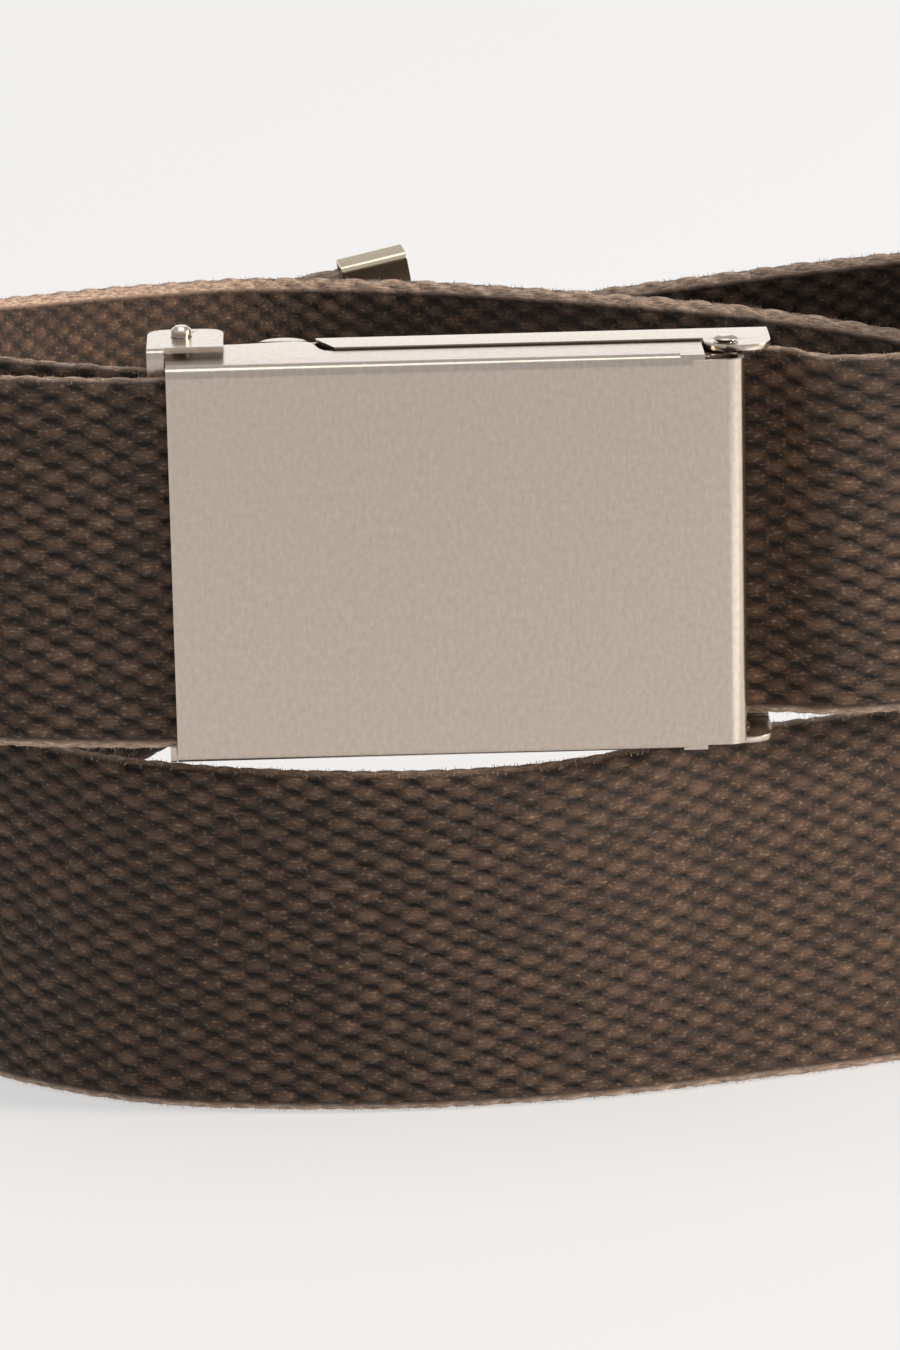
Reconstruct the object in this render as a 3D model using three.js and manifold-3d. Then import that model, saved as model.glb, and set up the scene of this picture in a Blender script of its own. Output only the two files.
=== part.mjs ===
// Webbing belt with a flip top buckle, fastened and wound into two turns that stand on edge.
// Millimetres, +Z up. +X is to the right of the buckle's face and +Y runs away from that face.

import * as THREE from 'three';
import { mergeVertices } from 'three/addons/utils/BufferGeometryUtils.js';
import Module from 'manifold-3d';

const wasm = await Module();
wasm.setup();

// Driving dimensions of the strap
const strapWidth = 38;
const strapThickness = 2.2;
const strapEdgeRound = 0.6;
const loopHalfWidth = 90;
const loopDepth = 117;
const turnGap = 3;
const stepsPerStation = 5;
const exitRun = 5.5;
const exitShift = 1.2;
const exitLean = 4;

// Driving dimensions of the buckle's sheet metal
const sheet = 0.6;
const coverLength = 57.2;
const coverMargin = 1.35;
const coverBend = 1.2;
const hingeBend = 1.8;
const sideFlange = 5.9;
const lobeLength = 13.1;
const lobeFall = 3.6;
const baseOverhang = 2.9;
const baseBend = 0.9;
const baseWall = 4.9;
const tongueWidth = 4.7;
const tongueReach = 0.9;
const tongueInset = 11.6;
const hingeInset = 1.6;
const hingeDepth = 5.2;
const hingeEar = 2.2;
const rivetRadius = 0.8;
const rivetHead = 1.3;
const rivetHeadHeight = 0.35;

// Driving dimensions of the clamp, its pin and the tip
const clampLength = 7.6;
const clampOverhang = 1.9;
const clampDepth = 9.2;
const clampCorner = 2.3;
const clampBend = 1;
const clampLip = 0.8;
const pinRadius = 0.9;
const pinInset = 3.4;
const pinHead = 1;
const pinHeadHeight = 0.9;
const tipLength = 7.8;
const tipSheet = 0.5;

// Clearances
const clearance = 0.2;
const clothClearance = 0.3;
const tailClearance = 0.4;

// The stack through the buckle, from the cover's front face to the base's rear face
const curlRadius = pinRadius + clearance + sheet;
const tailY = sheet + clothClearance + strapThickness / 2;
const clampFront = tailY + strapThickness / 2 + tailClearance;
const fixedEndY = clampFront + sheet + clampLip + clothClearance + strapThickness / 2;
const pinDepth = fixedEndY + strapThickness / 2 + clothClearance + curlRadius;
const lobeDepth = pinDepth + pinRadius + clothClearance;
const baseDepth = pinDepth + curlRadius + sheet / 2;

// Heights and places that follow from the sizes above
const turnRise = strapWidth + turnGap;
const buckleCentre = turnRise + strapWidth / 2;
const halfCover = coverLength / 2;
const coverTop = strapWidth / 2 + coverMargin;
const earTop = strapWidth / 2 + clearance + sheet;
const baseTop = earTop + clearance + sheet;
const hingeX = halfCover - hingeInset;
const hingeNotchX = hingeX - hingeEar - clearance;
const stepLeft = hingeNotchX - 4 * sheet;
const baseRight = halfCover + baseOverhang;
const swingRight = hingeX + hingeDepth;
const lobeEnd = lobeLength - halfCover;
const lobeFoot = lobeEnd + lobeFall;
const baseLeft = (lobeEnd + lobeFoot) / 2;
const baseFront = baseDepth - baseWall;
const lobeFront = hingeDepth - hingeEar;
const clampLeft = -halfCover - clampOverhang;
const clampRight = clampLeft + clampLength;
const clampTop = Math.max(coverTop, baseTop) + clearance + sheet;
const clampRear = clampFront + clampDepth;
const pinX = clampLeft + pinInset;
const hingeStrapY = hingeDepth + hingeEar + strapThickness / 2;

// Materials
function metal(name, color, roughness) {
  return new THREE.MeshStandardMaterial({ name, color, roughness, metalness: 1 });
}
const webbing = new THREE.MeshStandardMaterial({
  name: 'webbing',
  color: 0x4a3d35,
  roughness: 0.9,
  metalness: 0,
});
const satinNickel = metal('satin_nickel', 0xc9bfb0, 0.32);
const tipNickel = metal('tip_nickel', 0xd8cbb4, 0.3);

// Route of the strap, from its fixed end to its free end.
// across: share of loopHalfWidth, to the right of the buckle's centre
// deep: share of loopDepth, behind the buckle's face
// lift: height of the strap's lower edge as a share of the rise between the two turns
// lean: degrees that the upper edge leans out of the loop
const firstTurnRoute = [
  { across: -0.528, deep: 0.121, lift: 1.0, lean: 0 },
  { across: -0.633, deep: 0.245, lift: 0.97, lean: -1 },
  { across: -0.653, deep: 0.431, lift: 0.915, lean: -4 },
  { across: -0.588, deep: 0.632, lift: 0.82, lean: -7 },
  { across: -0.441, deep: 0.803, lift: 0.762, lean: -10 },
  { across: -0.253, deep: 0.897, lift: 0.733, lean: -11 },
  { across: -0.038, deep: 0.897, lift: 0.72, lean: -11 },
  { across: 0.188, deep: 0.851, lift: 0.705, lean: -11 },
  { across: 0.441, deep: 0.8, lift: 0.65, lean: -9 },
  { across: 0.68, deep: 0.735, lift: 0.55, lean: -7 },
  { across: 0.857, deep: 0.632, lift: 0.4, lean: -4 },
  { across: 0.944, deep: 0.5, lift: 0.245, lean: -2 },
  { across: 0.917, deep: 0.368, lift: 0.115, lean: 0 },
];
const secondTurnRoute = [
  { across: 0.784, deep: 0.258, lift: 0.03, lean: -2 },
  { across: 0.564, deep: 0.166, lift: 0, lean: -3 },
  { across: 0.317, deep: 0.104, lift: 0, lean: -1 },
  { across: 0.087, deep: 0.067, lift: 0, lean: 7 },
  { across: -0.161, deep: 0.062, lift: 0, lean: 7 },
  { across: -0.403, deep: 0.102, lift: 0, lean: 3 },
  { across: -0.621, deep: 0.24, lift: 0, lean: -1 },
  { across: -0.707, deep: 0.452, lift: 0, lean: -3.5 },
  { across: -0.636, deep: 0.674, lift: 0.085, lean: -4 },
  { across: -0.413, deep: 0.846, lift: 0.223, lean: -6.5 },
  { across: -0.192, deep: 0.937, lift: 0.4, lean: -8.5 },
  { across: 0.026, deep: 0.957, lift: 0.525, lean: -9.5 },
  { across: 0.239, deep: 0.932, lift: 0.632, lean: -9.5 },
  { across: 0.473, deep: 0.886, lift: 0.717, lean: -8.5 },
  { across: 0.709, deep: 0.813, lift: 0.795, lean: -6.5 },
  { across: 0.892, deep: 0.671, lift: 0.875, lean: -4 },
  { across: 1.0, deep: 0.495, lift: 0.95, lean: -1 },
  { across: 0.984, deep: 0.327, lift: 1.0, lean: 2 },
  { across: 0.859, deep: 0.2, lift: 1.0, lean: 4 },
  { across: 0.693, deep: 0.113, lift: 1.0, lean: 5 },
  { across: 0.546, deep: 0.077, lift: 1.0, lean: 5 },
];
const tailRoute = [
  { across: -0.533, deep: 0.041, lift: 1.0, lean: -1 },
  { across: -0.678, deep: 0.138, lift: 0.97, lean: -2 },
  { across: -0.762, deep: 0.311, lift: 0.88, lean: -4 },
  { across: -0.753, deep: 0.526, lift: 0.75, lean: -6 },
  { across: -0.658, deep: 0.734, lift: 0.64, lean: -8 },
  { across: -0.48, deep: 0.905, lift: 0.585, lean: -9 },
  { across: -0.265, deep: 0.995, lift: 0.6, lean: -9 },
  { across: -0.06, deep: 1.02, lift: 0.685, lean: -9 },
];

// A station of a route as a point on the strap's lower edge, with its lean
function station(row) {
  return {
    point: new THREE.Vector3(row.across * loopHalfWidth, row.deep * loopDepth, row.lift * turnRise),
    lean: row.lean,
  };
}

// A station in or beside the buckle, where the strap is straight and upright unless it leans
function buckleStation(x, y, lean = 0) {
  return { point: new THREE.Vector3(x, y, turnRise), lean };
}

// The straight end that the tip grips, carried on from the last two stations of the tail
function tipStations() {
  const [before, last] = tailRoute.slice(-2).map(station);
  const along = last.point.clone().sub(before.point).normalize();
  return [0.5, 1].map((share) => ({
    point: last.point.clone().addScaledVector(along, share * tipLength),
    lean: last.lean,
  }));
}

const strapStations = [
  buckleStation(clampRight + strapThickness, fixedEndY),
  buckleStation(pinX, fixedEndY),
  buckleStation(clampLeft, fixedEndY),
  ...firstTurnRoute.map(station),
  ...secondTurnRoute.map(station),
  buckleStation(swingRight + exitRun, hingeStrapY - exitShift, exitLean),
  buckleStation(swingRight + clearance, hingeStrapY),
  buckleStation(hingeX, hingeStrapY),
  buckleStation(hingeNotchX - 2 * strapThickness, hingeStrapY - clearance),
  buckleStation(clampRight + 2 * strapThickness, tailY),
  buckleStation(pinX, tailY),
  buckleStation(clampLeft - strapThickness, tailY),
  ...tailRoute.map(station),
  ...tipStations(),
];

// Smooth curves through the stations: one for the place, one for the lean
const route = new THREE.CatmullRomCurve3(strapStations.map((s) => s.point), false, 'centripetal');
const leanPoints = strapStations.map((s) => new THREE.Vector3(s.lean, 0, 0));
const leans = new THREE.CatmullRomCurve3(leanPoints, false, 'catmullrom');

// Share of the route where the strap's free end turns from upright to square with its length
const squareFrom = 1 - 7 / strapStations.length;
const squareTo = 1 - 4 / strapStations.length;

// Frame of the strap at a share of its route: along, out of the loop, and up its width.
// Where the strap climbs it stays upright, and up is longer so that its width is kept.
function strapFrame(t) {
  const along = route.getTangent(t);
  const outward = new THREE.Vector3(-along.y, along.x, 0).normalize();
  const square = new THREE.Vector3().crossVectors(along, outward).normalize();
  const climb = along.z / Math.hypot(along.x, along.y);
  const skew = climb * (1 - THREE.MathUtils.smoothstep(t, squareFrom, squareTo));
  const upright = square.clone().addScaledVector(along, skew);
  const lean = THREE.MathUtils.degToRad(leans.getPoint(t).x);
  const up = upright.clone().multiplyScalar(Math.cos(lean)).addScaledVector(outward, Math.sin(lean));
  const out = outward.clone().multiplyScalar(Math.cos(lean)).addScaledVector(upright, -Math.sin(lean));
  const centre = route.getPoint(t).addScaledVector(up, strapWidth / 2);
  return { along, out, up, centre };
}

// Section of the strap as pairs of offsets, outward and upward, with its long edges rounded off
function strapSection() {
  const a = strapThickness / 2;
  const b = strapWidth / 2;
  const r = strapEdgeRound;
  return [
    [a, r - b], [a, b - r], [a - r, b], [r - a, b],
    [-a, b - r], [-a, r - b], [r - a, -b], [a - r, -b],
  ];
}

// A closed solid through equal rings of points, with flat ends
function loft(rings) {
  const sides = rings[0].length;
  const positions = rings.flat().flatMap((p) => [p.x, p.y, p.z]);
  const index = [];
  for (let i = 0; i + 1 < rings.length; i += 1) {
    for (let j = 0; j < sides; j += 1) {
      const a = i * sides + j;
      const b = i * sides + ((j + 1) % sides);
      index.push(a, b, a + sides, b, b + sides, a + sides);
    }
  }
  const last = (rings.length - 1) * sides;
  for (let j = 1; j + 1 < sides; j += 1) {
    index.push(0, j + 1, j);
    index.push(last, last + j, last + j + 1);
  }
  const geometry = new THREE.BufferGeometry();
  geometry.setAttribute('position', new THREE.Float32BufferAttribute(positions, 3));
  geometry.setIndex(index);
  return geometry;
}

// Joins and cuts
function toSolid(geometry) {
  const bare = geometry.clone();
  bare.deleteAttribute('normal');
  bare.deleteAttribute('uv');
  const merged = mergeVertices(bare, 1e-4);
  return new wasm.Manifold(new wasm.Mesh({
    numProp: 3,
    vertProperties: new Float32Array(merged.attributes.position.array),
    triVerts: new Uint32Array(merged.index.array),
  }));
}

function toGeometry(solid) {
  const mesh = solid.getMesh();
  const geometry = new THREE.BufferGeometry();
  geometry.setAttribute('position', new THREE.BufferAttribute(new Float32Array(mesh.vertProperties), 3));
  geometry.setIndex(new THREE.BufferAttribute(new Uint32Array(mesh.triVerts), 1));
  return geometry;
}

// An outline drawn in plan (x to the right, y to the rear) and given a height from low to high
function plan(shape, low, high) {
  const geometry = new THREE.ExtrudeGeometry(shape, {
    depth: high - low,
    bevelEnabled: false,
    curveSegments: 6,
  });
  geometry.translate(0, 0, low);
  return toSolid(geometry);
}

// An outline drawn in side view (x to the rear, y up) and given a length from left to right
function side(shape, left, right) {
  const geometry = new THREE.ExtrudeGeometry(shape, {
    depth: right - left,
    bevelEnabled: false,
    curveSegments: 4,
  });
  geometry.applyMatrix4(new THREE.Matrix4().makeBasis(
    new THREE.Vector3(0, 1, 0),
    new THREE.Vector3(0, 0, 1),
    new THREE.Vector3(1, 0, 0),
  ));
  geometry.translate(left, 0, 0);
  return toSolid(geometry);
}

function polygon(points) {
  return new THREE.Shape(points.map(([x, y]) => new THREE.Vector2(x, y)));
}

function rectangle(left, right, front, rear) {
  return polygon([[left, front], [right, front], [right, rear], [left, rear]]);
}

// An upright round bar
function bar(x, y, radius, low, high) {
  const geometry = new THREE.CylinderGeometry(radius, radius, high - low, 20);
  geometry.rotateX(Math.PI / 2);
  geometry.translate(x, y, (low + high) / 2);
  return toSolid(geometry);
}

// A piece and its mirror image below the buckle's centre line
function bothSides(solid) {
  return solid.add(solid.mirror([0, 0, 1]));
}

// Side view of a channel: a web whose outer face is at web, bent round into two flanges
// that reach to y = reach on the side given by direction, 1 to the rear and -1 to the front
function channel(web, reach, top, bend, direction) {
  const shape = new THREE.Shape();
  const inner = bend - sheet;
  const d = direction;
  shape.moveTo(reach, top);
  shape.lineTo(web + d * bend, top);
  shape.quadraticCurveTo(web, top, web, top - bend);
  shape.lineTo(web, bend - top);
  shape.quadraticCurveTo(web, -top, web + d * bend, -top);
  shape.lineTo(reach, -top);
  shape.lineTo(reach, sheet - top);
  shape.lineTo(web + d * (sheet + inner), sheet - top);
  shape.quadraticCurveTo(web + d * sheet, sheet - top, web + d * sheet, sheet + inner - top);
  shape.lineTo(web + d * sheet, top - sheet - inner);
  shape.quadraticCurveTo(web + d * sheet, top - sheet, web + d * (sheet + inner), top - sheet);
  shape.lineTo(reach, top - sheet);
  return shape;
}

// Rounded crown of the cover's lobe. along: share of the way from the lobe's right end to the
// cover's left end. deep: share of the lobe's depth.
const lobeCrown = [
  { along: 0.1, deep: 1 },
  { along: 0.5, deep: 0.93 },
  { along: 1, deep: 0.8 },
  { along: 1, deep: 0.55 },
];
const lobeSway = 0.3;

// Plan of the cover: its flanges have a deep lobe at the left that falls to a shallow flange
function coverPlan() {
  const shape = new THREE.Shape();
  const sway = lobeFall * lobeSway;
  shape.moveTo(-halfCover, 0);
  shape.lineTo(hingeNotchX, 0);
  shape.lineTo(hingeNotchX, sideFlange);
  shape.lineTo(lobeFoot, sideFlange);
  shape.bezierCurveTo(lobeEnd + sway, sideFlange, lobeFoot - sway, lobeDepth, lobeEnd, lobeDepth);
  const [crown, brow, shoulder, cheek] = lobeCrown.map((row) => [
    THREE.MathUtils.lerp(lobeEnd, -halfCover, row.along),
    row.deep * lobeDepth,
  ]);
  shape.quadraticCurveTo(...crown, ...brow);
  shape.quadraticCurveTo(...shoulder, ...cheek);
  return shape;
}

// Right end of the cover in plan: the plate rolls round into a wall that ends in the cam's tooth
function hingeEndPlan() {
  const shape = new THREE.Shape();
  const inner = hingeBend - sheet;
  const wallRear = hingeDepth - hingeInset / 4;
  shape.moveTo(hingeNotchX - 2 * sheet, 0);
  shape.lineTo(halfCover - hingeBend, 0);
  shape.quadraticCurveTo(halfCover, 0, halfCover, hingeBend);
  shape.lineTo(halfCover, wallRear);
  shape.lineTo(hingeX + hingeInset * 0.6, hingeDepth + hingeEar * 0.5);
  shape.lineTo(hingeX - hingeEar * 0.2, hingeDepth + hingeEar * 0.85);
  shape.lineTo(hingeX - hingeEar * 0.3, hingeDepth + hingeEar * 0.4);
  shape.lineTo(halfCover - sheet, wallRear);
  shape.lineTo(halfCover - sheet, hingeBend);
  shape.quadraticCurveTo(halfCover - sheet, sheet, halfCover - sheet - inner, sheet);
  shape.lineTo(hingeNotchX - 2 * sheet, sheet);
  return shape;
}

// Ear that carries the cover on its rivet
function hingeEarPlan() {
  const shape = new THREE.Shape();
  shape.moveTo(stepLeft, sheet / 2);
  shape.lineTo(hingeX, hingeDepth - hingeEar);
  shape.absarc(hingeX, hingeDepth, hingeEar, -Math.PI / 2, Math.PI / 2, false);
  shape.lineTo(stepLeft, sideFlange);
  return shape;
}

// Parts of the buckle, drawn about its centre line
function makeCover() {
  const shell = side(channel(0, lobeDepth + sheet, coverTop, coverBend, 1), -halfCover, hingeNotchX);
  const trimmed = shell.intersect(plan(coverPlan(), -2 * coverTop, 2 * coverTop));
  const hingeEnd = plan(hingeEndPlan(), -earTop, earTop);
  const ear = plan(hingeEarPlan(), earTop - sheet, earTop);
  const step = plan(rectangle(stepLeft, hingeNotchX, sheet / 2, sideFlange), earTop - sheet, coverTop);
  const body = trimmed.add(hingeEnd).add(bothSides(ear.add(step)));
  return toGeometry(body.subtract(hingeHoles()));
}

function hingeHoles() {
  return bothSides(bar(hingeX, hingeDepth, rivetRadius + clearance, earTop - 2 * sheet, baseTop + sheet));
}

// Plan of the base's flanges: a low wall along the plate and a lobe that comes forward round the hinge
function baseFlangePlan() {
  const shape = new THREE.Shape();
  const lobeLeft = hingeX - hingeEar;
  shape.moveTo(baseLeft, baseDepth);
  shape.lineTo(baseLeft, baseDepth - 2 * sheet);
  shape.lineTo(lobeFoot, baseFront);
  shape.lineTo(lobeLeft, baseFront);
  shape.lineTo(lobeLeft, hingeDepth);
  shape.absarc(hingeX, hingeDepth, hingeEar, Math.PI, 1.5 * Math.PI, false);
  shape.lineTo(baseRight - baseOverhang, lobeFront);
  shape.quadraticCurveTo(baseRight, lobeFront, baseRight, lobeFront + baseOverhang);
  shape.lineTo(baseRight, baseDepth - sheet);
  shape.lineTo(baseRight - sheet, baseDepth);
  return shape;
}

// A small round tongue that shows behind the cover's lobe
function tonguePlan() {
  const centre = -halfCover + tongueInset;
  const shape = new THREE.Shape();
  const rear = baseDepth + tongueReach;
  shape.moveTo(centre - tongueWidth / 2, baseDepth - sheet);
  shape.quadraticCurveTo(centre - tongueWidth / 3, rear, centre, rear);
  shape.quadraticCurveTo(centre + tongueWidth / 3, rear, centre + tongueWidth / 2, baseDepth - sheet);
  return shape;
}

function makeBase() {
  const shell = side(channel(baseDepth, lobeFront - sheet, baseTop, baseBend, -1), baseLeft, baseRight);
  const trimmed = shell.intersect(plan(baseFlangePlan(), -2 * baseTop, 2 * baseTop));
  const plateTop = baseTop - sheet;
  const plate = plan(rectangle(pinX, baseLeft + sheet, baseDepth - sheet, baseDepth), -plateTop, plateTop);
  const curlTop = strapWidth / 2 - clearance;
  const curl = bar(pinX, pinDepth, curlRadius, -curlTop, curlTop);
  const tongue = plan(tonguePlan(), plateTop - sheet, coverTop);
  const body = trimmed.add(plate).add(curl).add(bothSides(tongue));
  const pinHole = bar(pinX, pinDepth, pinRadius + clearance, -baseTop, baseTop);
  return toGeometry(body.subtract(hingeHoles()).subtract(pinHole));
}

function makeRivet(direction) {
  const shankLow = earTop - sheet;
  const headLow = baseTop + clearance;
  const headTop = headLow + rivetHeadHeight;
  const profile = [[0, shankLow], [rivetRadius, shankLow], [rivetRadius, headLow], [rivetHead, headLow],
    [rivetHead, headLow + rivetHeadHeight / 3], [rivetHead * 0.6, headTop], [0, headTop]];
  return turned(profile, hingeX, hingeDepth, direction);
}

// A profile of radius and height turned about an upright axis, or upside down with direction -1
function turned(profile, x, y, direction) {
  const points = profile.map(([r, h]) => new THREE.Vector2(r, h));
  const geometry = new THREE.LatheGeometry(points, 20);
  geometry.rotateX(direction * Math.PI / 2);
  geometry.translate(x, y, 0);
  return toGeometry(toSolid(geometry));
}

// Plan of the clamp's two tabs, rounded at the rear corners
function clampPlan() {
  const shape = new THREE.Shape();
  const r = clampCorner;
  shape.moveTo(clampLeft, clampFront);
  shape.lineTo(clampRight, clampFront);
  shape.lineTo(clampRight, clampRear - r);
  shape.quadraticCurveTo(clampRight, clampRear, clampRight - r, clampRear);
  shape.lineTo(clampLeft + r, clampRear);
  shape.quadraticCurveTo(clampLeft, clampRear, clampLeft, clampRear - r);
  return shape;
}

// The clamp's front wall goes behind the cover, and its tabs over the cover's flanges and the pin.
// The lower tab is cut back to a neck just clear of the cover's end.
function makeClamp() {
  const shell = side(channel(clampFront, clampRear, clampTop, clampBend, 1), clampLeft, clampRight);
  const trimmed = shell.intersect(plan(clampPlan(), -2 * clampTop, 2 * clampTop));
  const wallTop = coverTop - sheet - clothClearance;
  const coverEnd = -halfCover - clearance;
  const passage = rectangle(coverEnd, clampRight + sheet, 0, clampFront + clampBend + clearance);
  const lipTop = strapWidth / 2 - clearance;
  const lipPlan = rectangle(clampRight - sheet, clampRight, clampFront, clampFront + sheet + clampLip);
  const hole = bar(pinX, pinDepth, pinRadius + clearance, clampTop - 2 * sheet, clampTop + sheet);
  const lowerEnd = rectangle(clampLeft - sheet, coverEnd - sheet, 0, 2 * clampRear);
  const cuts = bothSides(plan(passage, wallTop, 2 * clampTop).add(hole))
    .add(plan(lowerEnd, -2 * clampTop, -wallTop));
  return toGeometry(trimmed.subtract(cuts).add(plan(lipPlan, -lipTop, lipTop)));
}

function makePin() {
  const headLow = clampTop + clearance;
  const headTop = headLow + pinHeadHeight;
  const half = [
    [pinRadius, headLow],
    [pinHead, headLow],
    [pinHead, headTop - pinHead / 3],
    [pinHead * 0.6, headTop],
  ];
  const lower = half.map(([r, h]) => [r, -h]).reverse();
  return turned([[0, -headTop], ...lower, ...half, [0, headTop]], pinX, pinDepth, 1);
}

// The tip is a folded ferrule, drawn with its length along x and the strap's end at x = 0
function makeTip() {
  const inner = strapThickness / 2 + clothClearance;
  const outer = inner + tipSheet;
  const innerTop = strapWidth / 2 + clothClearance;
  const outerTop = innerTop + tipSheet;
  const back = clothClearance + tipSheet - tipLength;
  const round = outer * 0.5;
  const section = new THREE.Shape();
  section.moveTo(round - outer, -outerTop);
  section.lineTo(outer - round, -outerTop);
  section.quadraticCurveTo(outer, -outerTop, outer, round - outerTop);
  section.lineTo(outer, outerTop - round);
  section.quadraticCurveTo(outer, outerTop, outer - round, outerTop);
  section.lineTo(round - outer, outerTop);
  section.quadraticCurveTo(-outer, outerTop, -outer, outerTop - round);
  section.lineTo(-outer, round - outerTop);
  section.quadraticCurveTo(-outer, -outerTop, round - outer, -outerTop);
  const pocket = new THREE.BoxGeometry(tipLength, 2 * inner, 2 * innerTop);
  pocket.translate(clothClearance - tipLength / 2, 0, 0);
  return toGeometry(side(section, back, back + tipLength).subtract(toSolid(pocket)));
}

// The whole strap as one solid
function makeStrap() {
  const steps = (strapStations.length - 1) * stepsPerStation;
  const section = strapSection();
  const rings = [];
  for (let i = 0; i <= steps; i += 1) {
    const frame = strapFrame(i / steps);
    rings.push(section.map(([out, up]) => (
      frame.centre.clone().addScaledVector(frame.out, out).addScaledVector(frame.up, up)
    )));
  }
  return loft(rings);
}

// Assembly
function part(name, geometry, material, height) {
  geometry.computeVertexNormals();
  const mesh = new THREE.Mesh(geometry, material.clone());
  mesh.name = name;
  mesh.position.z = height;
  return mesh;
}

const belt = new THREE.Group();
belt.add(part('webbing_strap', makeStrap(), webbing, 0));
belt.add(part('buckle_cover', makeCover(), satinNickel, buckleCentre));
belt.add(part('buckle_base', makeBase(), satinNickel, buckleCentre));
belt.add(part('hinge_rivet_top', makeRivet(1), satinNickel, buckleCentre));
belt.add(part('hinge_rivet_bottom', makeRivet(-1), satinNickel, buckleCentre));
belt.add(part('strap_clamp', makeClamp(), satinNickel, buckleCentre));
belt.add(part('clamp_pin', makePin(), satinNickel, buckleCentre));

const tipFrame = strapFrame(1);
const tipHolder = new THREE.Group();
tipHolder.add(part('end_tip', makeTip(), tipNickel, 0));
tipHolder.setRotationFromMatrix(new THREE.Matrix4().makeBasis(
  tipFrame.along,
  new THREE.Vector3().crossVectors(tipFrame.up, tipFrame.along),
  tipFrame.up,
));
tipHolder.position.copy(tipFrame.centre);
belt.add(tipHolder);

// The origin is at the middle of the belt's base
const box = new THREE.Box3().setFromObject(belt, true);
belt.position.set(-(box.min.x + box.max.x) / 2, -(box.min.y + box.max.y) / 2, -box.min.z);
belt.updateMatrixWorld(true);

export default belt;
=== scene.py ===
"""A fastened webbing belt with a flip-top buckle, wound into two turns that stand on edge."""

import math

import bmesh
import bpy
import numpy as np
from mathutils import Matrix, Vector


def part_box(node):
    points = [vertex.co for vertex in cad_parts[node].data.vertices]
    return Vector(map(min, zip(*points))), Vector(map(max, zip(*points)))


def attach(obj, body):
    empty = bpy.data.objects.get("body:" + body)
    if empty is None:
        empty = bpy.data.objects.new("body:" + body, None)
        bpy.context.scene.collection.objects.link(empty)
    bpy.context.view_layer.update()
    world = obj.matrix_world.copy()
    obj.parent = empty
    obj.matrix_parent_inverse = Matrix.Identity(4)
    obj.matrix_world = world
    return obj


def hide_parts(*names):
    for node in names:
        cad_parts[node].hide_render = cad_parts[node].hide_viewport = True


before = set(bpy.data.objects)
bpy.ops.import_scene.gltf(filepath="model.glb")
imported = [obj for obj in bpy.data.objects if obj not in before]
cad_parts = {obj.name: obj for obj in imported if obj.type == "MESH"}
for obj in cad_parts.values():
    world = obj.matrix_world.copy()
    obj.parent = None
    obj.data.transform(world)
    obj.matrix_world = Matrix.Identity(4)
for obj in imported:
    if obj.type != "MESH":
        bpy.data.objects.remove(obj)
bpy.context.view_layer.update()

MM = 0.001

# Strap sizes in millimetres
STRAP_WIDTH = 38.0
STRAP_THICKNESS = 2.2
LOOP_HALF_WIDTH = 90.0
LOOP_DEPTH = 117.0
TURN_RISE = 41.0
TIP_LENGTH = 7.8
CLAMP_LEFT = -30.5
CLAMP_RIGHT = -22.9
PIN_X = -27.1
FIXED_END_Y = 6.3
TAIL_Y = 2.0
HINGE_X = 27.0
HINGE_STRAP_Y = 8.5
HINGE_NOTCH_X = 24.6
HINGE_DEPTH = 5.2
EXIT_RUN = 5.5
EXIT_SHIFT = 1.2
EXIT_LEAN = 4.0
CLEARANCE = 0.2

# Samples of the route's curve in each span, and how many stations before the free end the strap's skew on a
# climb starts and stops to fade
SPAN_SAMPLES = 40
FADE_FROM = 7
FADE_TO = 4

# Weave sizes in millimetres: nubs stand in columns across the strap, each column half a nub off the last
COLUMN = 2.275
NUB_PITCH = 2.29
NUB_HALF_LENGTH = 1.72
NUB_HALF_WIDTH = 1.02
NUB_RELIEF = 0.5
NUB_STRAY = 0.2

# Share of a nub's height that lies on the strap's smooth surface, and the share that differs from nub to nub
SURFACE_LEVEL = 0.62
NUB_VARIETY = 0.14

# Steps of the strap's mesh in millimetres: across its outer and inner face, and along it
OUTER_STEP = 0.38
INNER_STEP = 0.55
RING_STEP = 0.54
EDGE_POINTS = 9
STRAP_PIECES = 4

# Where the painted highlight on an edge's pale fuzz starts and where it is full, from the strap's middle and
# round the edge
EDGE_HIGHLIGHT_RANGE = (STRAP_WIDTH / 2 - 0.2, STRAP_WIDTH / 2 + 0.6)

# Stray fibres of the selvedges in millimetres, with their number a millimetre of each edge, the spread of
# their lean along the strap in radians, and how deep their feet lie in the edge and follow its round
FIBRE_SEED = 11
FIBRE_DENSITY = 12
FIBRE_LENGTH = (0.15, 0.6)
FIBRE_WIDTH = 0.08
FIBRE_TAPER = 3
FIBRE_SPREAD = 0.9
FIBRE_LEAN = 0.75
FIBRE_INSET = 0.2
FIBRE_DIP = 0.35

# What a fibre's points hold for the webbing's material: a nub's height, and a place along and across in the
# noise, each times the fibre's tone
FIBRE_NUB = 0.9
FIBRE_RUN = 37
FIBRE_ACROSS = 11

# The metal's mesh: the distance in millimetres under which points are one, and the angles in degrees up to
# which faces are flat, from which an edge gets its round, and from which shading breaks
WELD = 0.002
FLAT_ANGLE = 1
ROUND_ANGLE = 38
SHARP_ANGLE = 32

# The photograph's camera, fitted to the buckle's edges, in degrees and millimetres. The buckle's frame has
# its origin on the floor below the middle of the cover's face. The sensor's width lies along the picture's
# longer side, its height.
CAMERA_PITCH = 16.2
CAMERA_TURN = 1.329
CAMERA_ROLL = 1.178
CAMERA_AWAY = 620.0
CAMERA_AIM = (-1.188, 0.0, 48.236)
PHOTO_HEIGHT = 1350
FOCAL_PIXELS = 6204.6
SENSOR_WIDTH = 36.0
CLIP_START = 0.01

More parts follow.
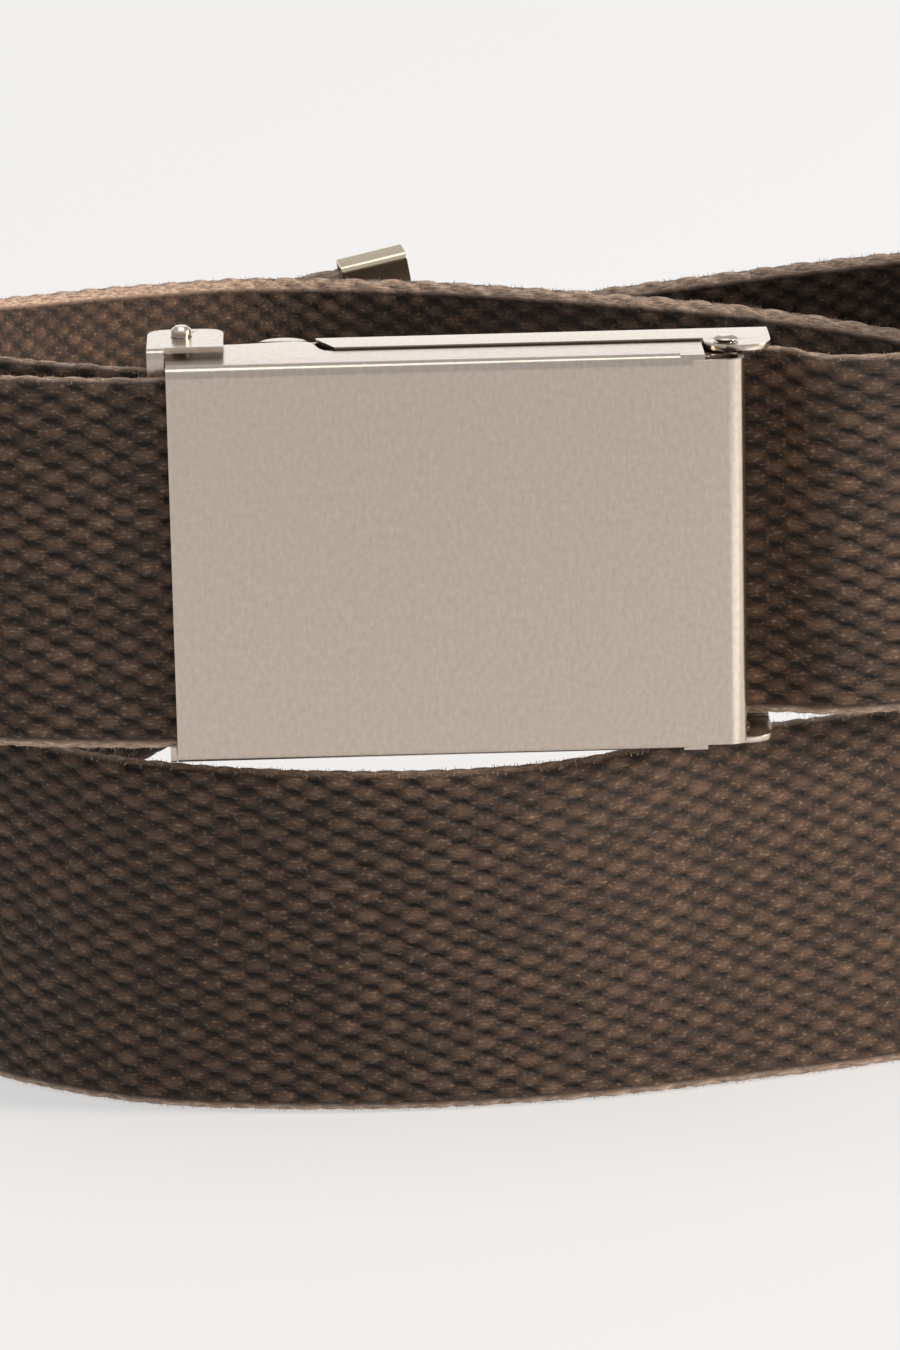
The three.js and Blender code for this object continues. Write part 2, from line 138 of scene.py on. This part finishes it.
# The studio. The floor reaches this many metres to each side. Its glow has the first strength up to the first
# depth, the second from the second depth on, and an even rise between them; the depths are in metres. The
# backdrop's corners are in millimetres of the buckle's frame.
FLOOR_REACH = 6.0
GLOW_DEPTHS = (-0.36, -0.15)
GLOW_STRENGTHS = (0.42, 0.525)
WORLD_STRENGTH = 0.62
BACKDROP = [(-2600, 2400, 80), (2600, 2400, 80), (2600, 2400, 900), (-2600, 2400, 900)]
BACKDROP_STRENGTH = 1.55

# Area lights: name, place, aim and size in millimetres of the buckle's frame, watts and colour
LIGHTS = [
    ("top_light", (0, 100, 2500), (0, 30, 40), (1750, 1300), 14.0, "#ffffff"),
    ("right_light", (1480, -250, 430), (20, 20, 50), (260, 400), 39.0, "#ffefe0"),
    ("low_right_light", (172, -165, 2), (172, -165, 100), (190, 180), 0.1, "#ffffff"),
    ("low_left_light", (-172, -165, 2), (-172, -165, 100), (190, 180), 0.14, "#ffffff"),
]

# Where the buckle's frame lies in the frame of the CAD
cover_low, cover_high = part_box("buckle_cover")
strap_low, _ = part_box("webbing_strap")
COVER_LENGTH = 57.2
SHIFT = Vector((
    cover_low.x + COVER_LENGTH / 2 * MM,
    cover_low.y,
    (cover_low.z + cover_high.z) / 2 - (TURN_RISE + STRAP_WIDTH / 2) * MM,
))

# Route of the strap's lower edge: (across, deep, lift, lean), as shares of the half width, the depth and
# the rise between the turns, with the outward lean of the upper edge in degrees
FIRST_TURN = [
    (-0.528, 0.121, 1.0, 0), (-0.633, 0.245, 0.97, -1), (-0.653, 0.431, 0.915, -4),
    (-0.588, 0.632, 0.82, -7), (-0.441, 0.803, 0.762, -10), (-0.253, 0.897, 0.733, -11),
    (-0.038, 0.897, 0.72, -11), (0.188, 0.851, 0.705, -11), (0.441, 0.8, 0.65, -9),
    (0.68, 0.735, 0.55, -7), (0.857, 0.632, 0.4, -4), (0.944, 0.5, 0.245, -2),
    (0.917, 0.368, 0.115, 0),
]
SECOND_TURN = [
    (0.784, 0.258, 0.03, -2), (0.564, 0.166, 0, -3), (0.317, 0.104, 0, -1), (0.087, 0.067, 0, 7),
    (-0.161, 0.062, 0, 7), (-0.403, 0.102, 0, 3), (-0.621, 0.24, 0, -1), (-0.707, 0.452, 0, -3.5),
    (-0.636, 0.674, 0.085, -4), (-0.413, 0.846, 0.223, -6.5), (-0.192, 0.937, 0.4, -8.5),
    (0.026, 0.957, 0.525, -9.5), (0.239, 0.932, 0.632, -9.5), (0.473, 0.886, 0.717, -8.5),
    (0.709, 0.813, 0.795, -6.5), (0.892, 0.671, 0.875, -4), (1.0, 0.495, 0.95, -1),
    (0.984, 0.327, 1.0, 2), (0.859, 0.2, 1.0, 4), (0.693, 0.113, 1.0, 5), (0.546, 0.077, 1.0, 5),
]
TAIL = [
    (-0.533, 0.041, 1.0, -1), (-0.678, 0.138, 0.97, -2), (-0.762, 0.311, 0.88, -4),
    (-0.753, 0.526, 0.75, -6), (-0.658, 0.734, 0.64, -8), (-0.48, 0.905, 0.585, -9),
    (-0.265, 0.995, 0.6, -9), (-0.06, 1.02, 0.685, -9),
]


def linear(code):
    """A colour written in sRGB hex as linear values."""
    shares = [int(code[i:i + 2], 16) / 255 for i in (1, 3, 5)]
    return tuple(c / 12.92 if c <= 0.04045 else ((c + 0.055) / 1.055) ** 2.4 for c in shares) + (1.0,)


def stations():
    """The strap's stations in order, as rows of x, y, z in millimetres and the lean in degrees. The last two
    run on straight through the tip, to its middle and to its end."""
    def spread(rows):
        return [(a * LOOP_HALF_WIDTH, d * LOOP_DEPTH, h * TURN_RISE, lean) for a, d, h, lean in rows]

    def inside(x, y, lean=0.0):
        return (x, y, TURN_RISE, lean)

    tail = spread(TAIL)
    last = tail[-1]
    step = np.subtract(last[:3], tail[-2][:3])
    step = step / np.linalg.norm(step)
    ends = [(*np.add(last[:3], share * TIP_LENGTH * step), last[3]) for share in (0.5, 1)]
    return np.array([
        inside(CLAMP_RIGHT + STRAP_THICKNESS, FIXED_END_Y),
        inside(PIN_X, FIXED_END_Y),
        inside(CLAMP_LEFT, FIXED_END_Y),
        *spread(FIRST_TURN),
        *spread(SECOND_TURN),
        inside(HINGE_X + HINGE_DEPTH + EXIT_RUN, HINGE_STRAP_Y - EXIT_SHIFT, EXIT_LEAN),
        inside(HINGE_X + HINGE_DEPTH + CLEARANCE, HINGE_STRAP_Y),
        inside(HINGE_X, HINGE_STRAP_Y),
        inside(HINGE_NOTCH_X - 2 * STRAP_THICKNESS, HINGE_STRAP_Y - CLEARANCE),
        inside(CLAMP_RIGHT + 2 * STRAP_THICKNESS, TAIL_Y),
        inside(PIN_X, TAIL_Y),
        inside(CLAMP_LEFT - STRAP_THICKNESS, TAIL_Y),
        *tail,
        *ends,
    ])


def smooth_curve(points, even):
    """Catmull-Rom curve through the points, sampled span by span. Spans are timed by the root of their
    length, or evenly where even is set. A span's value is p1 + m1 t + c2 t squared + c3 t cubed for t from 0
    to 1, where m1 and m2 are the slopes at its ends and c2 and c3 bring it to p2. Gives the samples and
    their slopes."""
    padded = np.vstack([2 * points[0] - points[1], points, 2 * points[-1] - points[-2]])
    p0, p1, p2, p3 = padded[:-3], padded[1:-2], padded[2:-1], padded[3:]
    if even:
        m1, m2 = (p2 - p0) / 2, (p3 - p1) / 2
    else:
        d0, d1, d2 = (
            np.sqrt(np.linalg.norm(b - a, axis=1))[:, None]
            for a, b in ((p0, p1), (p1, p2), (p2, p3))
        )
        m1 = ((p1 - p0) / d0 - (p2 - p0) / (d0 + d1) + (p2 - p1) / d1) * d1
        m2 = ((p2 - p1) / d1 - (p3 - p1) / (d1 + d2) + (p3 - p2) / d2) * d1
    c2 = -3 * p1 + 3 * p2 - 2 * m1 - m2
    c3 = 2 * p1 - 2 * p2 + m1 + m2
    t = (np.arange(SPAN_SAMPLES) / SPAN_SAMPLES)[None, :, None]
    values = p1[:, None] + m1[:, None] * t + c2[:, None] * t ** 2 + c3[:, None] * t ** 3
    slopes = m1[:, None] + 2 * c2[:, None] * t + 3 * c3[:, None] * t ** 2
    end = (p1 + m1 + c2 + c3)[-1:]
    end_slope = (m1 + 2 * c2 + 3 * c3)[-1:]
    width = points.shape[1]
    return (
        np.vstack([values.reshape(-1, width), end]),
        np.vstack([slopes.reshape(-1, width), end_slope]),
    )


def smoothstep(x, low, high):
    """0 before low, 1 after high and an even rise between them."""
    s = np.clip((x - low) / (high - low), 0, 1)
    return s * s * (3 - 2 * s)


def strap_frames():
    """Frames along the strap at even steps, in millimetres: the lower edge's place, the outward and upward
    directions and the length run. Upright is the direction square to the run + skew along, where the skew
    keeps the strap from tipping on a climb and fades before the free end. Up is upright cos lean + outward
    sin lean."""
    rows = stations()
    place, slope = smooth_curve(rows[:, :3], False)
    lean, _ = smooth_curve(rows[:, 3:4], True)
    share = np.arange(len(place)) / (len(place) - 1)
    along = slope / np.linalg.norm(slope, axis=1)[:, None]
    outward = np.stack([-along[:, 1], along[:, 0], np.zeros(len(along))], 1)
    outward /= np.linalg.norm(outward, axis=1)[:, None]
    square = np.cross(along, outward)
    climb = along[:, 2] / np.hypot(along[:, 0], along[:, 1])
    skew = climb * (1 - smoothstep(share, 1 - FADE_FROM / len(rows), 1 - FADE_TO / len(rows)))
    upright = square + along * skew[:, None]
    angle = np.radians(lean[:, 0])[:, None]
    up = upright * np.cos(angle) + outward * np.sin(angle)
    out = outward * np.cos(angle) - upright * np.sin(angle)
    run = np.concatenate([[0], np.cumsum(np.linalg.norm(np.diff(place, axis=0), axis=1))])
    wanted = np.linspace(0, run[-1], int(run[-1] / RING_STEP) + 1)

    def at_even_steps(values):
        return np.stack([np.interp(wanted, run, values[:, k]) for k in range(3)], 1)

    return at_even_steps(place), at_even_steps(out), at_even_steps(up), wanted


def strap_section():
    """Closed section of the strap, in order round it: outward and upward offsets, outward normals, the
    place across the weave and which face it is on (1 outer, -1 inner, 0 on an edge)."""
    half = STRAP_THICKNESS / 2
    flat = STRAP_WIDTH / 2 - half
    outer = np.linspace(-flat, flat, int(2 * flat / OUTER_STEP) + 1)
    inner = np.linspace(flat, -flat, int(2 * flat / INNER_STEP) + 1)

    def edge_round(side):
        """The half circle round the upper edge, 1, or the lower one, -1."""
        return [
            (side * half * math.cos(t), side * (flat + half * math.sin(t)),
             side * math.cos(t), side * math.sin(t), side * (flat + half * t), 0)
            for t in np.linspace(0, math.pi, EDGE_POINTS)[1:-1]
        ]

    return np.array([
        *((half, v, 1, 0, v, 1) for v in outer),
        *edge_round(1),
        *((-half, v, -1, 0, v, -1) for v in inner),
        *edge_round(-1),
    ])


def scattered(column, row):
    """A number from 0 to 1 for each nub that looks random: the fraction of 43758.5453 times the sine of
    12.9898 column + 78.233 row."""
    value = np.sin(column * 12.9898 + row * 78.233) * 43758.5453
    return value - np.floor(value)


def weave(u, v):
    """Height of the nubs from 0 to 1 at u along and v across the strap, with each nub's own tone. A nub is a
    half ellipsoid: the root of 1 - du squared - dv squared, times its own share of the full height. The
    columns of nubs are half a nub apart, so their lattice is a brick one, and the highest nub near a point
    is the one that shows."""
    best = np.zeros(np.broadcast(u, v).shape)
    tone = np.zeros(best.shape)
    for k in (-1, 0, 1):
        column = np.round(u / COLUMN) + k
        off = np.mod(column, 2) * 0.5
        row = np.round(v / NUB_PITCH - off)
        own = scattered(column, row)
        du = (u - column * COLUMN - NUB_STRAY * (own - 0.5)) / NUB_HALF_LENGTH
        dv = (v - (row + off) * NUB_PITCH) / NUB_HALF_WIDTH
        height = np.sqrt(np.clip(1 - du * du - dv * dv, 0, 1)) * (1 - NUB_VARIETY + NUB_VARIETY * own)
        tone = np.where(height > best, own, tone)
        best = np.maximum(best, height)
    return best, tone


def mesh_object(name, vertices, faces, smooth=True):
    """A mesh object from arrays of vertices in metres and quads or triangles."""
    mesh = bpy.data.meshes.new(name)
    mesh.vertices.add(len(vertices))
    mesh.vertices.foreach_set("co", np.asarray(vertices, np.float32).ravel())
    count = faces.shape[1]
    mesh.loops.add(faces.size)
    mesh.loops.foreach_set("vertex_index", faces.astype(np.int32).ravel())
    mesh.polygons.add(len(faces))
    mesh.polygons.foreach_set("loop_start", np.arange(0, faces.size, count, dtype=np.int32))
    mesh.polygons.foreach_set("loop_total", np.full(len(faces), count, np.int32))
    mesh.polygons.foreach_set("use_smooth", np.full(len(faces), smooth))
    mesh.update(calc_edges=True)
    mesh.validate()
    obj = bpy.data.objects.new(name, mesh)
    bpy.context.scene.collection.objects.link(obj)
    return obj


def tube_faces(rows, columns):
    """Quads of a grid of points that closes round its columns."""
    i, j = np.meshgrid(np.arange(rows - 1), np.arange(columns), indexing="ij")
    k = (j + 1) % columns
    corners = [i * columns + j, i * columns + k, (i + 1) * columns + k, (i + 1) * columns + j]
    return np.stack(corners, -1).reshape(-1, 4)


def add_values(obj, name, values):
    """Stores one number a vertex on the mesh."""
    layer = obj.data.attributes.new(name, "FLOAT", "POINT")
    layer.data.foreach_set("value", np.asarray(values, np.float32).ravel())


def selvedge_fibres(place, out, up, rng):
    """Short stray fibres along both edges of a length of strap, as thin quads that taper to their tips. A
    tip is its foot + length (up cos lean + along sin lean), and a foot lies anywhere across the edge's
    thickness. Gives the vertices in millimetres and each one's tone."""
    along = np.cross(out, up)
    count = int(len(place) * RING_STEP * FIBRE_DENSITY)
    middle = STRAP_WIDTH / 2
    quads, tones = [], []
    for side in (-1, 1):
        ring = rng.integers(0, len(place), count)
        across = rng.uniform(-FIBRE_SPREAD, FIBRE_SPREAD, count)
        slide = rng.uniform(-RING_STEP / 2, RING_STEP / 2, count)
        length = rng.uniform(*FIBRE_LENGTH, count)
        lean = rng.normal(0, FIBRE_LEAN, count)
        height = middle + side * (middle - FIBRE_INSET) - side * FIBRE_DIP * across ** 2
        forward = along[ring]
        foot = (
            place[ring]
            + up[ring] * height[:, None]
            + out[ring] * across[:, None]
            + forward * slide[:, None]
        )
        rise = up[ring] * (side * length * np.cos(lean))[:, None]
        tip = foot + rise + forward * (length * np.sin(lean))[:, None]
        half = forward * FIBRE_WIDTH / 2
        corners = [foot - half, foot + half, tip + half / FIBRE_TAPER, tip - half / FIBRE_TAPER]
        quads.append(np.stack(corners, 1).reshape(-1, 3))
        tones.append(np.repeat(rng.uniform(0, 1, count), 4))
    return np.concatenate(quads), np.concatenate(tones)


def woven_strap(material):
    """The strap in a few lengths that meet ring to ring, each with its own stray fibres. A point is the
    section's place plus the nub's height along the section's normal: lower edge + out (a + h na) + up (width
    / 2 + b + h nb). Nothing goes below the strap's lowest point, which stands on the floor."""
    place, out, up, run = strap_frames()
    a, b, na, nb, v, face = strap_section().T
    u = run[:, None] + np.where(face[None, :] < 0, COLUMN / 2, 0)
    height, tone = weave(u, v[None, :])
    relief = NUB_RELIEF * (height - SURFACE_LEVEL) * MM
    shift = np.array(SHIFT)
    points = (
        (place * MM)[:, None]
        + out[:, None] * (a * MM + relief * na)[..., None]
        + up[:, None] * ((STRAP_WIDTH / 2 + b) * MM + relief * nb)[..., None]
        + shift
    )
    points[..., 2] = np.maximum(points[..., 2], strap_low.z)
    # Share of the painted highlight on each edge's pale fuzz, full round the edges
    edge = smoothstep(np.abs(v), *EDGE_HIGHLIGHT_RANGE)
    cuts = np.linspace(0, len(run) - 1, STRAP_PIECES + 1).astype(int)
    rng = np.random.default_rng(FIBRE_SEED)
    pieces = []
    for k in range(STRAP_PIECES):
        rows = slice(cuts[k], cuts[k + 1] + 1)
        part = points[rows].reshape(-1, 3)
        faces = tube_faces(cuts[k + 1] + 1 - cuts[k], points.shape[1])
        hairs, hair_tone = selvedge_fibres(place[rows], out[rows], up[rows], rng)
        hairs = hairs * MM + shift
        hairs[:, 2] = np.maximum(hairs[:, 2], strap_low.z)
        hair_faces = len(part) + np.arange(len(hairs)).reshape(-1, 4)
        name = f"woven_strap_{k + 1}"
        obj = mesh_object(name, np.vstack([part, hairs]), np.vstack([faces, hair_faces]))
        shape = height[rows].shape
        for value_name, value, of_hairs in (
            ("nub", height[rows], FIBRE_NUB),
            ("tone", tone[rows], hair_tone),
            ("edge", np.broadcast_to(edge, shape), 1.0),
            ("run", np.broadcast_to(u[rows], shape), FIBRE_RUN * hair_tone),
            ("across", np.broadcast_to(v, shape), FIBRE_ACROSS * hair_tone),
        ):
            hair_values = np.broadcast_to(of_hairs, len(hairs))
            add_values(obj, value_name, np.concatenate([value.ravel(), hair_values]))
        obj.data.materials.append(material)
        pieces.append(obj)
    return pieces


def node(tree, kind, settings=None, **inputs):
    """Adds a shader node with its settings. Each input, by its name or as i and its number, is linked where a
    socket is given and set where a plain value is."""
    made = tree.nodes.new(kind)
    for key, value in (settings or {}).items():
        setattr(made, key, value)
    for key, value in inputs.items():
        entry = made.inputs[int(key[1:]) if key[1:].isdigit() else key]
        if isinstance(value, bpy.types.NodeSocket):
            tree.links.new(value, entry)
        else:
            entry.default_value = value
    return made


def new_material(name, uniform):
    """A material with one principled shader, whose uniform values are set on its own inputs."""
    material = bpy.data.materials.new(name)
    material.use_nodes = True
    tree = material.node_tree
    tree.nodes.clear()
    shader = tree.nodes.new("ShaderNodeBsdfPrincipled")
    end = tree.nodes.new("ShaderNodeOutputMaterial")
    tree.links.new(shader.outputs[0], end.inputs[0])
    for key, value in uniform.items():
        shader.inputs[key].default_value = value
    return material, tree, shader


def attribute(tree, name):
    """The named per-vertex number."""
    return node(tree, "ShaderNodeAttribute", {"attribute_name": name}).outputs["Fac"]


def ramp(tree, factor, stops):
    """A colour ramp through pairs of place and colour."""
    made = node(tree, "ShaderNodeValToRGB", i0=factor)
    elements = made.color_ramp.elements
    while len(elements) < len(stops):
        elements.new(0.5)
    for element, (place, colour) in zip(elements, stops):
        element.position = place
        element.color = linear(colour)
    return made.outputs[0]


def noise(tree, place, stretch, detail, roughness=0.5):
    """Soft noise over the place, finer on an axis the more that axis is stretched."""
    scaled = node(tree, "ShaderNodeVectorMath", {"operation": "MULTIPLY"}, i0=place, i1=stretch)
    made = node(
        tree, "ShaderNodeTexNoise", Vector=scaled.outputs[0], Scale=1.0, Detail=detail, Roughness=roughness,
    )
    return made.outputs[0]


def mix(tree, share, first, second, blend="MIX"):
    """Two colours mixed by a share of the second."""
    settings = {"data_type": "RGBA", "blend_type": blend}
    return node(tree, "ShaderNodeMix", settings, i0=share, i6=first, i7=second).outputs[2]


def carried(tree, value, source, target):
    """The value carried from one range to another, held at its ends."""
    low, high = source
    new_low, new_high = target
    return node(tree, "ShaderNodeMapRange", i0=value, i1=low, i2=high, i3=new_low, i4=new_high).outputs[0]


def product(tree, first, second):
    """Two numbers multiplied."""
    return node(tree, "ShaderNodeMath", {"operation": "MULTIPLY"}, i0=first, i1=second).outputs[0]


def bump(tree, shader, height, strength, distance):
    """Fine relief of the shader's surface, distance in metres."""
    made = node(tree, "ShaderNodeBump", Height=height, Strength=strength, Distance=distance)
    tree.links.new(made.outputs[0], shader.inputs["Normal"])


def cotton_webbing():
    """Heavy cotton webbing in dark brown: matt yarn nubs with painted shade toward their feet, a painted
    highlight where the pale fuzz along the edges catches light, and painted glints on the fibres of the nubs'
    crowns. Its noise is laid in millimetres along and across the strap, drawn out along the yarn."""
    material, tree, shader = new_material("cotton_webbing", {
        "Roughness": 0.6,
        "Sheen Weight": 0.02,
        "Sheen Roughness": 0.5,
        "Specular IOR Level": 0.34,
    })
    run, across, nub = (attribute(tree, name) for name in ("run", "across", "nub"))
    place = node(tree, "ShaderNodeCombineXYZ", i0=run, i1=across).outputs[0]
    yarn = noise(tree, place, (0.9, 5.5, 1.0), 3.0, 0.6)
    blotch = noise(tree, place, (0.9, 0.9, 0.9), 2.0)
    fibre = noise(tree, place, (1.6, 3.0, 1.0), 2.0)
    fine = noise(tree, place, (2.2, 9.0, 1.0), 4.0, 0.65)

    # Painted shade: the nubs' colour darkens toward their feet, in the hollows between them
    body = ramp(tree, nub, [(0.0, "#110b08"), (0.4, "#2c1f18"), (0.72, "#533f32"), (1.0, "#775f4c")])
    tint = ramp(tree, attribute(tree, "tone"), [(0.0, "#c8c0b8"), (0.5, "#e0d8d0"), (1.0, "#fff6ec")])
    toned = mix(tree, 0.7, body, tint, "MULTIPLY")
    fleck = ramp(tree, yarn, [(0.3, "#5c544d"), (0.5, "#bdb5ad"), (0.68, "#fffaf2")])
    flecked = mix(tree, 0.6, toned, fleck, "MULTIPLY")
    # Painted highlight along both edges, where their pale fuzz catches light, broken up by the yarn noise
    fuzz = carried(tree, yarn, (0.4, 0.6), (0.35, 0.95))
    edge_highlight_share = product(tree, attribute(tree, "edge"), fuzz)
    with_edge_highlight = mix(tree, edge_highlight_share, flecked, linear("#cfb5a0"))
    mottle = ramp(tree, blotch, [(0.3, "#d2ccc6"), (0.7, "#ffffff")])
    mottled = mix(tree, 0.6, with_edge_highlight, mottle, "MULTIPLY")
    # Painted glints: beige highlights on fibres of the nubs' crowns, strongest on the highest nubs
    painted_glint_share = product(tree, carried(tree, fibre, (0.55, 0.74), (0.0, 0.4)), nub)
    with_painted_glints = mix(tree, painted_glint_share, mottled, linear("#b89c7c"))

    tree.links.new(with_painted_glints, shader.inputs["Base Color"])
    bump(tree, shader, fine, 0.9, 0.00022)
    return material


def brushed_metal(name, colour, roughness, grain):
    """Nickel-plated steel with a fine satin grain. Its flecks are darker than the colour by up to the share
    that grain gives."""
    material, tree, shader = new_material(name, {"Metallic": 1.0, "Roughness": roughness})
    place = node(tree, "ShaderNodeTexCoord").outputs["Object"]
    flecks = noise(tree, place, (1900.0, 1600.0, 1200.0), 3.0, 0.6)
    bright = linear(colour)
    dark = tuple(c * (1 - grain) for c in bright[:3]) + (1.0,)
    tree.links.new(mix(tree, flecks, dark, bright), shader.inputs["Base Color"])
    bump(tree, shader, flecks, 0.15, 0.00005)
    return material


def area_light(name, place, aim, size, power, colour):
    """A soft rectangular light in millimetres of the buckle's frame."""
    light = bpy.data.lights.new(name, "AREA")
    light.shape = "RECTANGLE"
    light.size, light.size_y = size[0] * MM, size[1] * MM
    light.energy = power
    light.color = linear(colour)[:3]
    obj = bpy.data.objects.new(name, light)
    obj.location = Vector(place) * MM + SHIFT
    obj.rotation_euler = (Vector(aim) * MM - Vector(place) * MM).to_track_quat("-Z", "Y").to_euler()
    bpy.context.scene.collection.objects.link(obj)


def card(name, corners, material):
    """A flat card of the studio with its four corners in metres."""
    obj = mesh_object(name, np.array(corners), np.array([[0, 1, 2, 3]]), smooth=False)
    obj.data.materials.append(material)


def studio():
    """Pale glowing floor, a bright backdrop for the metal to mirror, an overhead softbox, a warm lamp at the
    right and two soft lights that lie on the floor in front, for the cover's side bends to mirror."""
    white = linear("#ffffff")
    # Pale matt studio floor
    pale_floor, tree, shader = new_material("pale_floor", {
        "Base Color": linear("#959595"),
        "Emission Color": white,
        "Roughness": 0.9,
        "Specular IOR Level": 0.1,
    })
    spot = node(tree, "ShaderNodeTexCoord").outputs["Object"]
    deep = node(tree, "ShaderNodeSeparateXYZ", i0=spot).outputs[1]
    tree.links.new(carried(tree, deep, GLOW_DEPTHS, GLOW_STRENGTHS), shader.inputs["Emission Strength"])
    sides = ((-1, -1), (1, -1), (1, 1), (-1, 1))
    card("floor", [(x * FLOOR_REACH, y * FLOOR_REACH, 0) for x, y in sides], pale_floor)

    world = bpy.data.worlds.new("studio")
    world.use_nodes = True
    background = world.node_tree.nodes["Background"]
    background.inputs[0].default_value = white
    background.inputs[1].default_value = WORLD_STRENGTH
    bpy.context.scene.world = world

    # Lit white cloth behind the scene
    lit_cloth, _, _ = new_material("backdrop", {
        "Base Color": linear("#000000"),
        "Emission Color": white,
        "Emission Strength": BACKDROP_STRENGTH,
    })
    card("backdrop", np.array(BACKDROP) * MM + np.array(SHIFT), lit_cloth)
    for light in LIGHTS:
        area_light(*light)


def photo_camera():
    """The camera at the photograph's angle. It looks down by the pitch and is turned to the right by the
    turn, and its right and up directions are turned about the line of sight by the roll."""
    pitch, turn, roll = (math.radians(x) for x in (CAMERA_PITCH, CAMERA_TURN, CAMERA_ROLL))
    ahead = Vector((math.cos(pitch) * math.sin(turn), math.cos(pitch) * math.cos(turn), -math.sin(pitch)))
    right = Vector((math.cos(turn), -math.sin(turn), 0))
    up = right.cross(ahead)
    view_right = right * math.cos(roll) - up * math.sin(roll)
    view_up = right * math.sin(roll) + up * math.cos(roll)
    data = bpy.data.cameras.new("photo_camera")
    data.sensor_width = SENSOR_WIDTH
    data.lens = FOCAL_PIXELS * data.sensor_width / PHOTO_HEIGHT
    data.clip_start = CLIP_START
    camera = bpy.data.objects.new("photo_camera", data)
    turned = Matrix((view_right, view_up, -ahead)).transposed().to_4x4()
    turned.translation = (Vector(CAMERA_AIM) - ahead * CAMERA_AWAY) * MM + SHIFT
    camera.matrix_world = turned
    bpy.context.scene.collection.objects.link(camera)
    bpy.context.scene.camera = camera


def rounded_metal(name, node_name, edge, material):
    """A metal piece with its sharp edges broken by a small round, edge its size in millimetres."""
    work = bmesh.new()
    work.from_mesh(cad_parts[node_name].data)
    bmesh.ops.remove_doubles(work, verts=work.verts, dist=WELD * MM)
    flat = math.radians(FLAT_ANGLE)
    bmesh.ops.dissolve_limit(work, angle_limit=flat, verts=work.verts, edges=work.edges)
    least = math.radians(ROUND_ANGLE)
    sharp = [e for e in work.edges if len(e.link_faces) == 2 and e.calc_face_angle() > least]
    bmesh.ops.bevel(
        work, geom=sharp, offset=edge * MM, segments=2, profile=0.5, affect="EDGES", clamp_overlap=True,
    )
    bmesh.ops.triangulate(work, faces=work.faces)
    mesh = bpy.data.meshes.new(name)
    work.to_mesh(mesh)
    work.free()
    mesh.polygons.foreach_set("use_smooth", np.full(len(mesh.polygons), True))
    mesh.set_sharp_from_angle(angle=math.radians(SHARP_ANGLE))
    mesh.materials.append(material)
    obj = bpy.data.objects.new(name, mesh)
    bpy.context.scene.collection.objects.link(obj)
    steady = obj.modifiers.new("even_faces", "WEIGHTED_NORMAL")
    steady.keep_sharp = True
    steady.weight = 100
    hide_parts(node_name)
    return obj


def metal_pieces():
    """The buckle's pieces and the tip in satin metal, each on its own body."""
    # Satin nickel on the buckle's sheet steel
    nickel = brushed_metal("satin_nickel", "#d0c3b5", 0.24, 0.3)
    # Yellower nickel on the strap's tip
    tip = brushed_metal("tip_nickel", "#ded0b6", 0.26, 0.2)
    # Name, CAD node, size of the edges' round in millimetres, metal and body
    pieces = [
        ("cover_plate", "buckle_cover", 0.12, nickel, "cover"),
        ("base_plate", "buckle_base", 0.12, nickel, "frame"),
        ("clamp_plate", "strap_clamp", 0.14, nickel, "frame"),
        ("pin_bar", "clamp_pin", 0.12, nickel, "frame"),
        ("rivet_top", "hinge_rivet_top", 0.08, nickel, "frame"),
        ("rivet_bottom", "hinge_rivet_bottom", 0.08, nickel, "frame"),
        ("tip_ferrule", "end_tip", 0.14, tip, "frame"),
    ]
    for name, node_name, edge, material, body in pieces:
        obj = rounded_metal(name, node_name, edge, material)
        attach(obj, body)


webbing = cotton_webbing()
for piece in woven_strap(webbing):
    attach(piece, "frame")
    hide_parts("webbing_strap")
metal_pieces()
studio()
photo_camera()
bpy.context.scene.view_settings.view_transform = "Standard"
